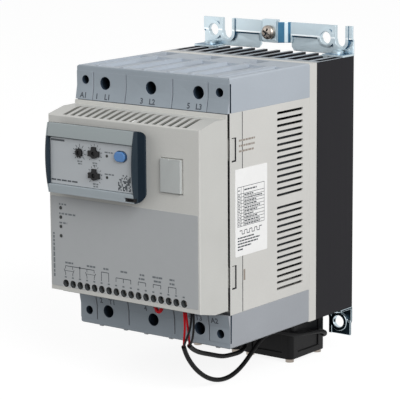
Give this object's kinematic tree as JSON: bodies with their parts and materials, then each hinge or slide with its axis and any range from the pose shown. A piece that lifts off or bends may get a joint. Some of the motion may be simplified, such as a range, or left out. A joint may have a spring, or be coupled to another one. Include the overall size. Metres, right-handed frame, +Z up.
{
  "type": "soft starter",
  "caption": "Three-phase soft starter with terminal blocks at both ends, a grooved front cover, a setting module with dials and a button, and a finned heatsink cooled by fans on panel brackets.",
  "frame": {"origin": "middle of the mounting plane at the back of the heatsink", "axes": "+X to the right seen from the front, +Y to the back into the panel, +Z up"},
  "size_m": [0.1208, 0.1799, 0.2215],
  "materials": {
    "black_anodised_aluminium": "matt black anodised extrusion with bare cut ends",
    "light_grey_moulding": "fine matt moulding texture",
    "cover_moulding": "fine matt moulding texture",
    "block_moulding": "matt glass-filled moulding",
    "screw_steel": "plated steel",
    "nickel_brass": "dull passivated plating",
    "copper_bar": "plain rolled copper",
    "semiconductor_moulding": "dark epoxy moulding on a metal base",
    "relay_case": "dark sealed relay case",
    "board_laminate": "green solder mask",
    "spacer_nylon": "natural nylon",
    "printed_film": "printed film",
    "clear_light_pipe": "clear moulded light pipe",
    "dark_strip_moulding": "dark terminal moulding",
    "navy_moulding": "matt dark blue moulding",
    "bezel_moulding": "satin grey moulding",
    "face_film": "printed film",
    "trimmer_case": "blue trimmer case",
    "black_moulding": "black moulding",
    "blue_button": "glossy blue moulding",
    "white_label": "paper label with bare table lines",
    "zinc_plated_sheet": "blue-passivated zinc plating",
    "black_cable": "matt black sheath",
    "red_insulation": "red PVC insulation"
  },
  "bodies": {
    "starter": {"heatsink": "black_anodised_aluminium", "flange_frame": "light_grey_moulding", "rear_housing": "light_grey_moulding", "front_frame": "light_grey_moulding", "upper_terminal_block": "block_moulding", "lower_terminal_block": "block_moulding", "power_screws": "screw_steel", "clamp_plates": "screw_steel", "upper_busbars": "copper_bar", "lower_busbars": "copper_bar", "aux_terminal_screws": "screw_steel", "thyristor_module_1": "semiconductor_moulding", "thyristor_module_2": "semiconductor_moulding", "thyristor_module_3": "semiconductor_moulding", "thyristor_screws": "screw_steel", "bypass_relay_1": "relay_case", "bypass_relay_2": "relay_case", "bypass_relay_3": "relay_case", "power_board": "board_laminate", "control_board": "board_laminate", "board_spacers": "spacer_nylon", "front_cover": "cover_moulding", "cover_overlay": "printed_film", "access_hatch": "cover_moulding", "status_light_pipes": "clear_light_pipe", "control_terminal_strip": "dark_strip_moulding", "control_terminal_screws": "screw_steel", "module_body": "navy_moulding", "module_bezel": "bezel_moulding", "module_face": "face_film", "module_board": "board_laminate", "trimmer_bases": "trimmer_case", "button_switch": "black_moulding", "module_lights": "clear_light_pipe", "service_port": "black_moulding", "rating_label": "white_label", "top_bracket": "zinc_plated_sheet", "bottom_bracket": "zinc_plated_sheet", "bracket_screws": "screw_steel", "earth_clamp": "zinc_plated_sheet", "earth_screw": "nickel_brass", "fan_plate": "zinc_plated_sheet", "left_fan_frame": "black_moulding", "right_fan_frame": "black_moulding", "fan_screws": "screw_steel", "right_fan_cable": "black_cable", "left_fan_cable": "black_cable", "right_red_lead": "red_insulation", "right_black_lead": "black_cable", "left_red_lead": "red_insulation", "left_black_lead": "black_cable", "link_wire": "red_insulation"},
    "left_rotor": {"left_fan_rotor": "black_moulding"},
    "right_rotor": {"right_fan_rotor": "black_moulding"},
    "current_knob": {"current_dial": "black_moulding"},
    "ramp_up_knob": {"ramp_up_dial": "black_moulding"},
    "ramp_down_knob": {"ramp_down_dial": "black_moulding"},
    "button": {"reset_button": "blue_button"}
  },
  "joints": [
    {"name": "left_fan_spin", "type": "hinge", "parent": "starter", "child": "left_rotor", "pos_m": [-0.022, -0.025, -0.1], "axis": [0, 0, 1], "continuous": true},
    {"name": "right_fan_spin", "type": "hinge", "parent": "starter", "child": "right_rotor", "pos_m": [0.022, -0.025, -0.1], "axis": [0, 0, 1], "continuous": true},
    {"name": "current_dial_turn", "type": "hinge", "parent": "starter", "child": "current_knob", "pos_m": [-0.0248, -0.176, 0.0363], "axis": [0, 1, 0], "range_deg": [-135, 135]},
    {"name": "ramp_up_dial_turn", "type": "hinge", "parent": "starter", "child": "ramp_up_knob", "pos_m": [-0.0129, -0.176, 0.0368], "axis": [0, 1, 0], "range_deg": [-135, 135]},
    {"name": "ramp_down_dial_turn", "type": "hinge", "parent": "starter", "child": "ramp_down_knob", "pos_m": [-0.0129, -0.176, 0.0232], "axis": [0, 1, 0], "range_deg": [-135, 135]},
    {"name": "reset_button_press", "type": "slide", "parent": "starter", "child": "button", "axis": [0, 1, 0], "range_m": [0, 0.001], "stiffness_N_per_m": 800, "springref_m": -0.001}
  ]
}
